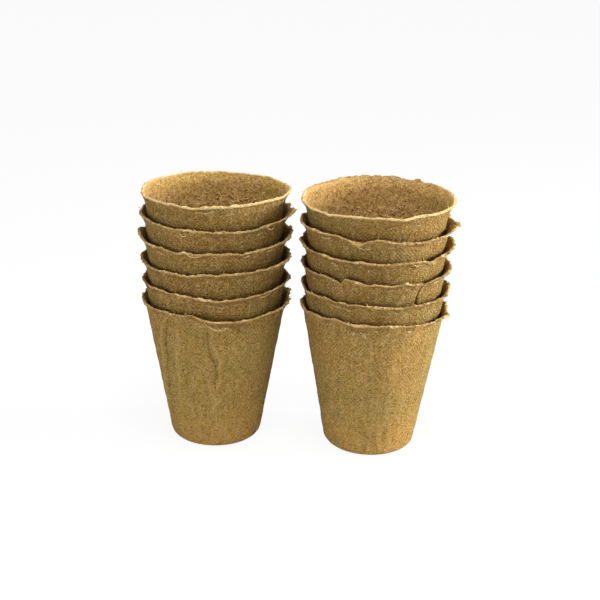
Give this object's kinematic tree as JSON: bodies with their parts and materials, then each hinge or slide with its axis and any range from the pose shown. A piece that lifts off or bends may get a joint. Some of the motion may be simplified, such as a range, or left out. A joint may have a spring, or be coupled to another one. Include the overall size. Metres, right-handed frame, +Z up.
{
  "type": "nested peat pots",
  "caption": "Round moulded-pulp seedling pots with torn, turned-out lips, nested in free-standing stacks; each pot lifts off the one below.",
  "frame": {"origin": "on the surface that the stacks stand on, at the middle of the box round both stacks", "axes": "+Z up along the pots' axes; +X from the left stack to the right one; -Y towards the viewer of the picture, with the right stack a little nearer"},
  "size_m": [0.1697, 0.09, 0.141],
  "materials": {
    "moulded_pulp": "matte"
  },
  "bodies": {
    "left_pot_1": {"left_pot_1": "moulded_pulp"},
    "left_pot_2": {"left_pot_2": "moulded_pulp"},
    "left_pot_3": {"left_pot_3": "moulded_pulp"},
    "left_pot_4": {"left_pot_4": "moulded_pulp"},
    "left_pot_5": {"left_pot_5": "moulded_pulp"},
    "left_pot_6": {"left_pot_6": "moulded_pulp"},
    "right_pot_1": {"right_pot_1": "moulded_pulp"},
    "right_pot_2": {"right_pot_2": "moulded_pulp"},
    "right_pot_3": {"right_pot_3": "moulded_pulp"},
    "right_pot_4": {"right_pot_4": "moulded_pulp"},
    "right_pot_5": {"right_pot_5": "moulded_pulp"},
    "right_pot_6": {"right_pot_6": "moulded_pulp"}
  },
  "joints": [
    {"name": "left_pot_2_lift", "type": "slide", "parent": "left_pot_1", "child": "left_pot_2", "axis": [0, 0, 1], "range_m": [0, 0.071]},
    {"name": "left_pot_3_lift", "type": "slide", "parent": "left_pot_2", "child": "left_pot_3", "axis": [0, 0, 1], "range_m": [0, 0.071]},
    {"name": "left_pot_4_lift", "type": "slide", "parent": "left_pot_3", "child": "left_pot_4", "axis": [0, 0, 1], "range_m": [0, 0.072]},
    {"name": "left_pot_5_lift", "type": "slide", "parent": "left_pot_4", "child": "left_pot_5", "axis": [0, 0, 1], "range_m": [0, 0.072]},
    {"name": "left_pot_6_lift", "type": "slide", "parent": "left_pot_5", "child": "left_pot_6", "axis": [0, 0, 1], "range_m": [0, 0.071]},
    {"name": "right_pot_2_lift", "type": "slide", "parent": "right_pot_1", "child": "right_pot_2", "axis": [0, 0, 1], "range_m": [0, 0.071]},
    {"name": "right_pot_3_lift", "type": "slide", "parent": "right_pot_2", "child": "right_pot_3", "axis": [0, 0, 1], "range_m": [0, 0.071]},
    {"name": "right_pot_4_lift", "type": "slide", "parent": "right_pot_3", "child": "right_pot_4", "axis": [0, 0, 1], "range_m": [0, 0.072]},
    {"name": "right_pot_5_lift", "type": "slide", "parent": "right_pot_4", "child": "right_pot_5", "axis": [0, 0, 1], "range_m": [0, 0.073]},
    {"name": "right_pot_6_lift", "type": "slide", "parent": "right_pot_5", "child": "right_pot_6", "axis": [0, 0, 1], "range_m": [0, 0.071]},
    {"name": "right_pot_1_lift", "type": "slide", "parent": "left_pot_1", "child": "right_pot_1", "axis": [0, 0, 1], "range_m": [0, 0.15]}
  ]
}
